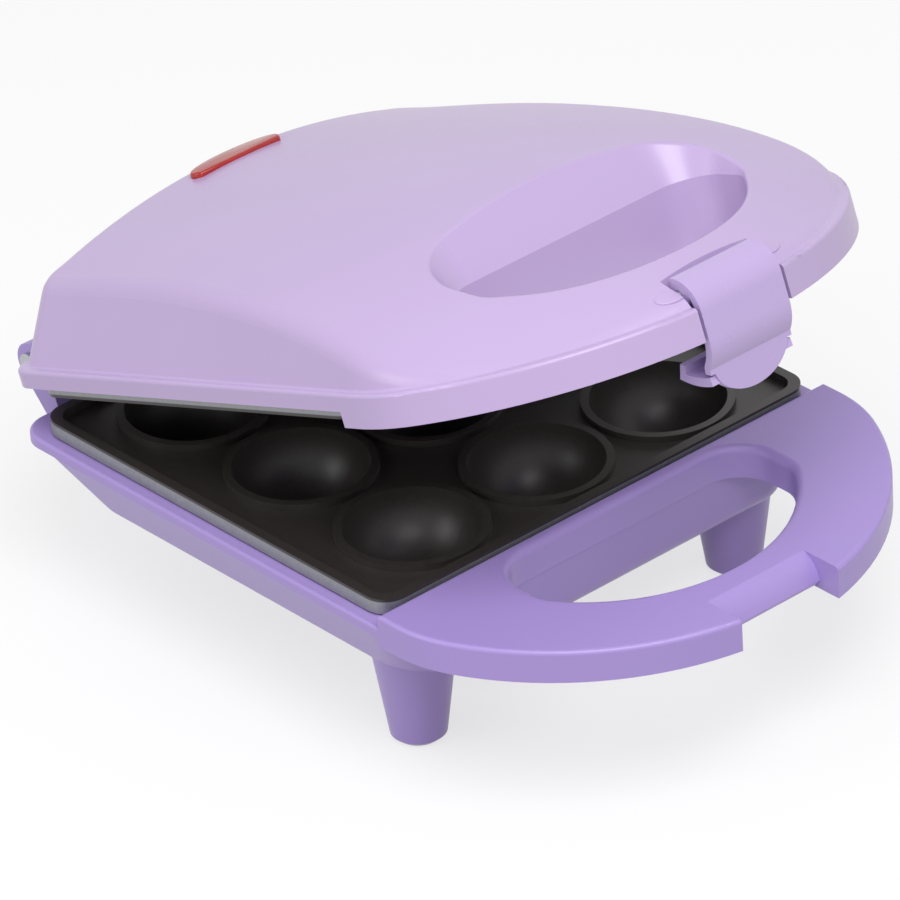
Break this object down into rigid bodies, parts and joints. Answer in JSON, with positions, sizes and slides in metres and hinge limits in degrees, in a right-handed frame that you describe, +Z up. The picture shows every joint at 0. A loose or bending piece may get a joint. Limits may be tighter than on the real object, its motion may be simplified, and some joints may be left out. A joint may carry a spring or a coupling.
{
  "type": "cake pop maker",
  "caption": "Countertop cake pop maker with a hinged domed lid, round moulds in two baking plates, carrying handles, a swinging latch and tapered legs.",
  "frame": {"origin": "on the table, under the middle of the whole maker as it stands with its lid ajar", "axes": "+X to the right, +Y to the rear where the hinge is, +Z up"},
  "size_m": [0.164, 0.2352, 0.1457],
  "materials": {
    "lid_plastic": "satin gloss moulded lavender",
    "base_plastic": "satin gloss moulded lavender",
    "latch_plastic": "gloss moulded lavender",
    "non_stick": "die-cast, black non-stick coating on the baking face, bare grey sides",
    "steel": "zinc plated",
    "sheath_steel": "matt tube sheath",
    "reflector_steel": "bright aluminised sheet",
    "ceramic": "unglazed ceramic",
    "washer_plastic": "natural nylon",
    "splice_nylon": "natural nylon",
    "gland_rubber": "matt black",
    "lead_sleeve": "silicone glass sleeve",
    "thermostat_body": "phenolic",
    "lens_red": "translucent red",
    "lamp_glass": "clear glass"
  },
  "bodies": {
    "base": {"base_shell": "base_plastic", "lower_plate": "non_stick", "lower_plate_screws": "steel", "lower_heater": "sheath_steel", "lower_heater_seals": "ceramic", "lower_heater_pins": "steel", "lower_reflector": "reflector_steel", "hinge_pins": "steel", "hinge_washers": "washer_plastic", "cord_gland": "gland_rubber", "splice_caps": "splice_nylon", "base_wiring": "lead_sleeve"},
    "lid": {"lid_shell": "lid_plastic", "upper_plate": "non_stick", "upper_plate_screws": "steel", "upper_heater": "sheath_steel", "upper_heater_seals": "ceramic", "upper_heater_pins": "steel", "upper_reflector": "reflector_steel", "thermostat": "thermostat_body", "thermostat_screws": "steel", "indicator_lens": "lens_red", "indicator_lamp": "lamp_glass", "lamp_holder": "splice_nylon", "handle_covers": "lid_plastic", "handle_cover_screws": "steel", "lid_wiring": "lead_sleeve", "latch_pin": "steel"},
    "latch": {"latch": "latch_plastic"}
  },
  "joints": [
    {"name": "lid_hinge", "type": "hinge", "parent": "base", "child": "lid", "pos_m": [0, 0.1116, 0.061], "axis": [-1, 0, 0], "range_deg": [-19.5, 75]},
    {"name": "latch_pivot", "type": "hinge", "parent": "lid", "child": "latch", "pos_m": [0, -0.09511, 0.14141], "axis": [-1, 0, 0], "range_deg": [0, 35]}
  ]
}
